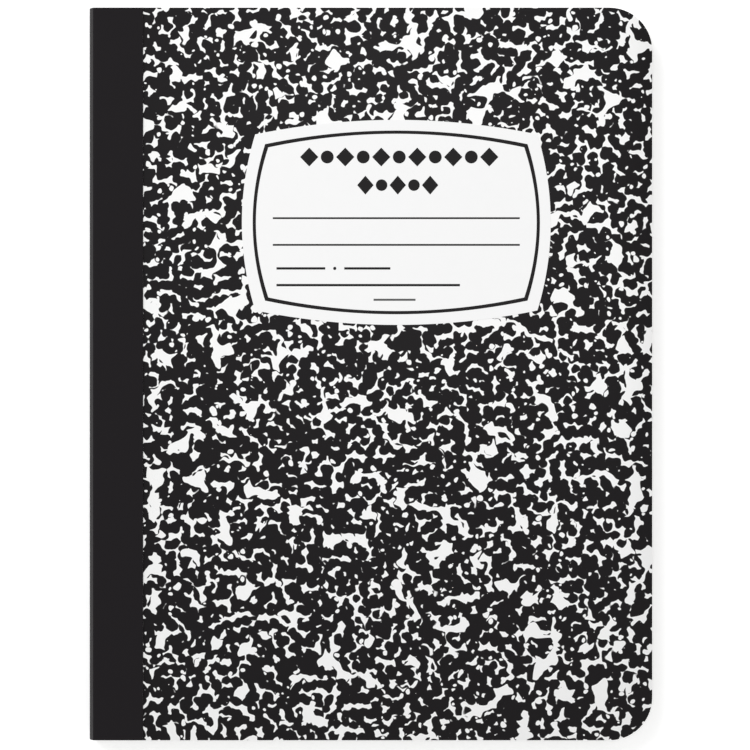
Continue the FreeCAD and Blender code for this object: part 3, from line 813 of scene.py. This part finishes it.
def label_outlines(printed, half_width, half_height):
    """Outlines of the label and of all that is printed on it, in millimetres from the label's middle:
    the edge, the ring's two sides, what is black, and what is grey."""
    edge = barrel(half_width, half_height, printed.side_bulge / MM, printed.top_bulge / MM)
    ring = []
    for side in (0.5, -0.5):
        out = side * printed.ring_line / MM
        across, along = printed.ring_width / 2 / MM + out, printed.ring_height / 2 / MM + out
        ring.append(barrel(across, along, printed.ring_side_bulge / MM, printed.ring_top_bulge / MM))
    reach, line_width = printed.line_length / 2 / MM, printed.line_width / MM
    heights = (printed.upper_line, printed.lower_line)
    black = [bar(-reach, reach, height / MM, line_width) for height in heights]
    tall = printed.ornament_height / MM
    black += ornament_row(x=1.0, y=22.1, pitch=6.085, count=11, height=tall)
    black += ornament_row(x=0.5, y=12.6, pitch=5.47, count=5, height=tall)
    left, upper_row, lower_row, faint_row = -40.5, -15.55, -21.2, -26.15
    width = printed.bar_width / MM
    black += [
        bar(left, -24.0, upper_row, width), disc(-20.8, upper_row, radius=0.55),
        bar(-17.6, -2.0, upper_row, width), bar(left, 21.5, lower_row, width),
    ]
    grey = [bar(-7.7, 6.5, faint_row, printed.faint_bar_width / MM)]
    return edge, ring, black, grey


def build_label(printed, colours):
    """The pasted label: a barrel-shaped ring, two writing lines, ornaments and small bars."""
    middle = (LABEL_LOW + LABEL_HIGH) / 2
    half_width = (LABEL_HIGH.x - LABEL_LOW.x) / 2 / MM
    half_height = (LABEL_HIGH.y - LABEL_LOW.y) / 2 / MM
    edge, ring, black, grey = label_outlines(printed, half_width, half_height)
    points, edges = [], []
    for shape in [edge, *ring, *black, *grey]:
        first = len(points)
        points += [Vector(point) for point in shape]
        edges += [(first + n, first + (n + 1) % len(shape)) for n in range(len(shape))]
    flat, _, triangles, *_ = delaunay_2d_cdt(points, edges, [], 1, 1e-5)
    shape = bmesh.new()
    corners = [shape.verts.new((middle.x + p.x * MM, middle.y + p.y * MM, LABEL_HIGH.z)) for p in flat]
    for triangle in triangles:
        face = shape.faces.new([corners[n] for n in triangle])
        x = sum(flat[n].x for n in triangle) / 3
        y = sum(flat[n].y for n in triangle) / 3
        if inside(ring[0], x, y) and not inside(ring[1], x, y):
            face.material_index = 1
        elif any(inside(outline, x, y) for outline in black):
            face.material_index = 1
        elif any(inside(outline, x, y) for outline in grey):
            face.material_index = 2
    top = shape.faces[:]
    grown = bmesh.ops.extrude_face_region(shape, geom=top)["geom"]
    moved = [item for item in grown if isinstance(item, bmesh.types.BMVert)]
    bmesh.ops.translate(shape, verts=moved, vec=(0, 0, LABEL_LOW.z - LABEL_HIGH.z))
    bmesh.ops.recalc_face_normals(shape, faces=shape.faces)
    for face in shape.faces:
        if face.normal.z < 0.5:
            face.material_index = 0
    mesh = bpy.data.meshes.new("title_label")
    shape.to_mesh(mesh)
    shape.free()
    for material in (
        paper("label_paper", colours.label, 0.006 * MM, 0.62),
        printing_ink("label_ink", colours.ink),
        printing_ink("small_ink", colours.grey_ink),
    ):
        mesh.materials.append(material)
    label = bpy.data.objects.new("title_label", mesh)
    bpy.context.scene.collection.objects.link(label)
    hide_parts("label")
    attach(label, "front_cover")


class NOTEBOOK_OT_boards(Operator):
    """Build both cover boards with their marbled paper"""

    bl_idname = "notebook.boards"
    bl_label = "Cover boards"

    def execute(self, context):
        sizes, colours = context.scene.notebook_sizes, context.scene.notebook_colours
        core = board_core(colours)
        edge = paper("cover_paper_edge", colours.lining, 0.01 * MM, 0.8)
        for side, shift in (("front", (140, 260)), ("back", (420, 610))):
            marbling = marbled_paper(f"{side}_marbling", colours, shift)
            build_board(sizes, colours, side, side == "back", core, marbling, edge)
        return {"FINISHED"}


class NOTEBOOK_OT_tape(Operator):
    """Build the binding tape round the spine"""

    bl_idname = "notebook.tape"
    bl_label = "Binding tape"

    def execute(self, context):
        build_tape(context.scene.notebook_sizes, context.scene.notebook_colours)
        return {"FINISHED"}


class NOTEBOOK_OT_lining(Operator):
    """Build the lining sheet that is pasted inside both covers"""

    bl_idname = "notebook.lining"
    bl_label = "Lining"

    def execute(self, context):
        build_lining(context.scene.notebook_sizes, context.scene.notebook_colours)
        return {"FINISHED"}


class NOTEBOOK_OT_leaves(Operator):
    """Build the folded sheets and print their rules"""

    bl_idname = "notebook.leaves"
    bl_label = "Leaves"

    def execute(self, context):
        build_leaves(context.scene.notebook_sizes, context.scene.notebook_colours)
        return {"FINISHED"}


class NOTEBOOK_OT_label(Operator):
    """Build the title label"""

    bl_idname = "notebook.label"
    bl_label = "Title label"

    def execute(self, context):
        build_label(context.scene.notebook_label, context.scene.notebook_colours)
        return {"FINISHED"}


class NOTEBOOK_OT_threads(Operator):
    """Give the sewing threads their cotton"""

    bl_idname = "notebook.threads"
    bl_label = "Sewing threads"

    def execute(self, context):
        cotton = sewing_thread(context.scene.notebook_colours)
        for node in ("needle_thread", "bobbin_thread"):
            for holder in frame["nodes"][node].material_slots:
                holder.material = cotton
        return {"FINISHED"}


class NOTEBOOK_OT_stage(Operator):
    """Set the camera, the floor and the light"""

    bl_idname = "notebook.stage"
    bl_label = "Stage"

    def execute(self, context):
        stage = context.scene.notebook_stage
        place_camera(context, stage)
        lay_floor(context, stage)
        light_stage(context, stage)
        context.scene.view_settings.view_transform = "Standard"
        return {"FINISHED"}


def place_camera(context, stage):
    """A long lens straight above the front cover."""
    data = bpy.data.cameras.new("camera")
    data.lens = stage.lens
    data.sensor_width = SENSOR_WIDTH
    distance = stage.view_width * stage.lens / SENSOR_WIDTH
    camera = bpy.data.objects.new("camera", data)
    camera.location = (stage.aim_x, stage.aim_y, FRONT_HIGH.z + distance)
    data.clip_end = 20
    context.scene.collection.objects.link(camera)
    context.scene.camera = camera


def lay_floor(context, stage):
    """A wide pale floor that shows white to the camera where nothing shades it."""
    mesh = bpy.data.meshes.new("floor")
    reach = stage.floor_reach
    corners = [(-reach, -reach, 0), (reach, -reach, 0), (reach, reach, 0), (-reach, reach, 0)]
    mesh.from_pydata(corners, [], [(0, 1, 2, 3)])
    floor = bpy.data.objects.new("floor", mesh)
    context.scene.collection.objects.link(floor)
    fixed = {"Base Color": (0.9, 0.9, 0.9, 1), "Roughness": 0.9, "Specular IOR Level": 0.1}
    finish = Finish("pale_floor", fixed)
    plain = Wire(finish, finish.shader.outputs[0])
    glow = finish.add("ShaderNodeEmission", {}, {"Color": (1, 1, 1, 1), "Strength": stage.floor_glow})
    both = finish.add("ShaderNodeAddShader", {}, {0: plain, 1: glow})
    rays = finish.add("ShaderNodeLightPath", {}, {}, "Is Camera Ray")
    seen = rays + rays.output("Is Glossy Ray") + rays.output("Is Transmission Ray")
    surface = finish.add("ShaderNodeMixShader", {}, {0: seen, 1: plain, 2: both})
    finish.feed(finish.tree.nodes["Material Output"].inputs["Surface"], surface)
    mesh.materials.append(finish.material)


def light_stage(context, stage):
    """Even light all round and one large soft lamp from the upper left."""
    world = bpy.data.worlds.new("studio")
    context.scene.world = world
    world.use_nodes = True
    background = world.node_tree.nodes["Background"]
    background.inputs["Color"].default_value = (1, 1, 1, 1)
    background.inputs["Strength"].default_value = stage.daylight
    lamp = bpy.data.lights.new("soft_lamp", "AREA")
    lamp.energy = stage.lamp_power
    lamp.shape = "DISK"
    lamp.size = stage.lamp_size
    holder = bpy.data.objects.new("soft_lamp", lamp)
    holder.location = LAMP_PLACE
    holder.rotation_mode = "QUATERNION"
    holder.rotation_quaternion = (-LAMP_PLACE).to_track_quat("-Z", "Y")
    context.scene.collection.objects.link(holder)


class NOTEBOOK_PT_panel(Panel):
    """Lists the pieces of the notebook"""

    bl_label = "Composition notebook"
    bl_idname = "NOTEBOOK_PT_panel"
    bl_space_type = "VIEW_3D"
    bl_region_type = "UI"
    bl_category = "Notebook"

    def draw(self, context):
        for operator in STEPS:
            self.layout.operator(operator.bl_idname)


STEPS = (
    NOTEBOOK_OT_boards,
    NOTEBOOK_OT_tape,
    NOTEBOOK_OT_lining,
    NOTEBOOK_OT_leaves,
    NOTEBOOK_OT_label,
    NOTEBOOK_OT_threads,
    NOTEBOOK_OT_stage,
)
CLASSES = (NotebookSizes, NotebookLabel, NotebookColours, NotebookStage, *STEPS, NOTEBOOK_PT_panel)


def register():
    for cls in CLASSES:
        bpy.utils.register_class(cls)
    bpy.types.Scene.notebook_sizes = PointerProperty(type=NotebookSizes)
    bpy.types.Scene.notebook_label = PointerProperty(type=NotebookLabel)
    bpy.types.Scene.notebook_colours = PointerProperty(type=NotebookColours)
    bpy.types.Scene.notebook_stage = PointerProperty(type=NotebookStage)


def unregister():
    del bpy.types.Scene.notebook_stage
    del bpy.types.Scene.notebook_colours
    del bpy.types.Scene.notebook_label
    del bpy.types.Scene.notebook_sizes
    for cls in reversed(CLASSES):
        bpy.utils.unregister_class(cls)


def main():
    register()
    bpy.ops.notebook.stage()
    bpy.ops.notebook.boards()
    bpy.ops.notebook.tape()
    bpy.ops.notebook.lining()
    bpy.ops.notebook.leaves()
    bpy.ops.notebook.label()
    bpy.ops.notebook.threads()


if __name__ == "__main__":
    main()
